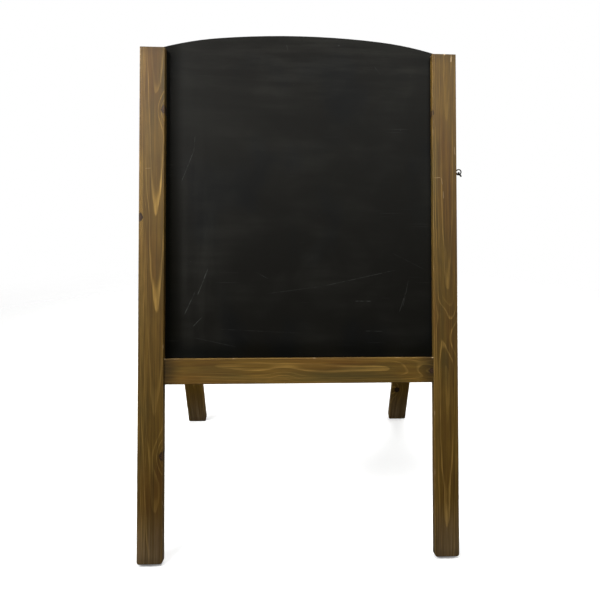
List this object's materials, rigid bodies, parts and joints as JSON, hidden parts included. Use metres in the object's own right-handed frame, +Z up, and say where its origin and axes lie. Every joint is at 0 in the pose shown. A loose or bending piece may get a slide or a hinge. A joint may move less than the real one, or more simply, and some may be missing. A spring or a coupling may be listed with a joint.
{
  "type": "folding chalkboard easel",
  "caption": "Folding A-frame chalkboard easel for children: pine posts, an arched black board in a rebate, a plain rear frame, butt hinges at the top and a cabin hook that holds it open.",
  "frame": {"origin": "on the floor, midway between the side faces and midway between the two frames", "axes": "+X to the right for someone facing the board, +Y to the back, +Z up"},
  "size_m": [0.6127, 0.6046, 0.9514],
  "materials": {
    "stained_pine": "satin, dark oak stain over knotty pine",
    "chalkboard": "matte chalkboard paint on hardboard",
    "beech": "bare",
    "zinc_steel": "zinc plated",
    "bronzed_steel": "bronzed, dark"
  },
  "bodies": {
    "front_frame": {"front_post_left": "stained_pine", "front_post_right": "stained_pine", "front_rail": "stained_pine", "front_board": "chalkboard", "board_screws": "zinc_steel", "front_dowels": "beech", "hinge_left_front_leaf": "zinc_steel", "hinge_right_front_leaf": "zinc_steel", "hinge_left_pin": "zinc_steel", "hinge_right_pin": "zinc_steel", "hinge_front_screws": "zinc_steel", "stay_front_eye": "bronzed_steel"},
    "rear_frame": {"rear_leg_left": "stained_pine", "rear_leg_right": "stained_pine", "rear_top_rail": "stained_pine", "rear_lower_rail": "stained_pine", "rear_dowels": "beech", "hinge_left_rear_leaf": "zinc_steel", "hinge_right_rear_leaf": "zinc_steel", "hinge_rear_screws": "zinc_steel", "stay_rear_eye": "bronzed_steel"},
    "stay_hook": {"stay_hook": "zinc_steel"}
  },
  "joints": [
    {"name": "fold", "type": "hinge", "parent": "front_frame", "child": "rear_frame", "pos_m": [0, 0, 0.92053], "axis": [-1, 0, 0], "range_deg": [0, 34]},
    {"name": "hook_swing", "type": "hinge", "parent": "front_frame", "child": "stay_hook", "pos_m": [0.30897, -0.07878, 0.6998], "axis": [1, 0, 0], "range_deg": [0, 62]}
  ],
  "couplings": [
    {"joint": "hook_swing", "follows": "fold", "ratio": 1.8}
  ]
}
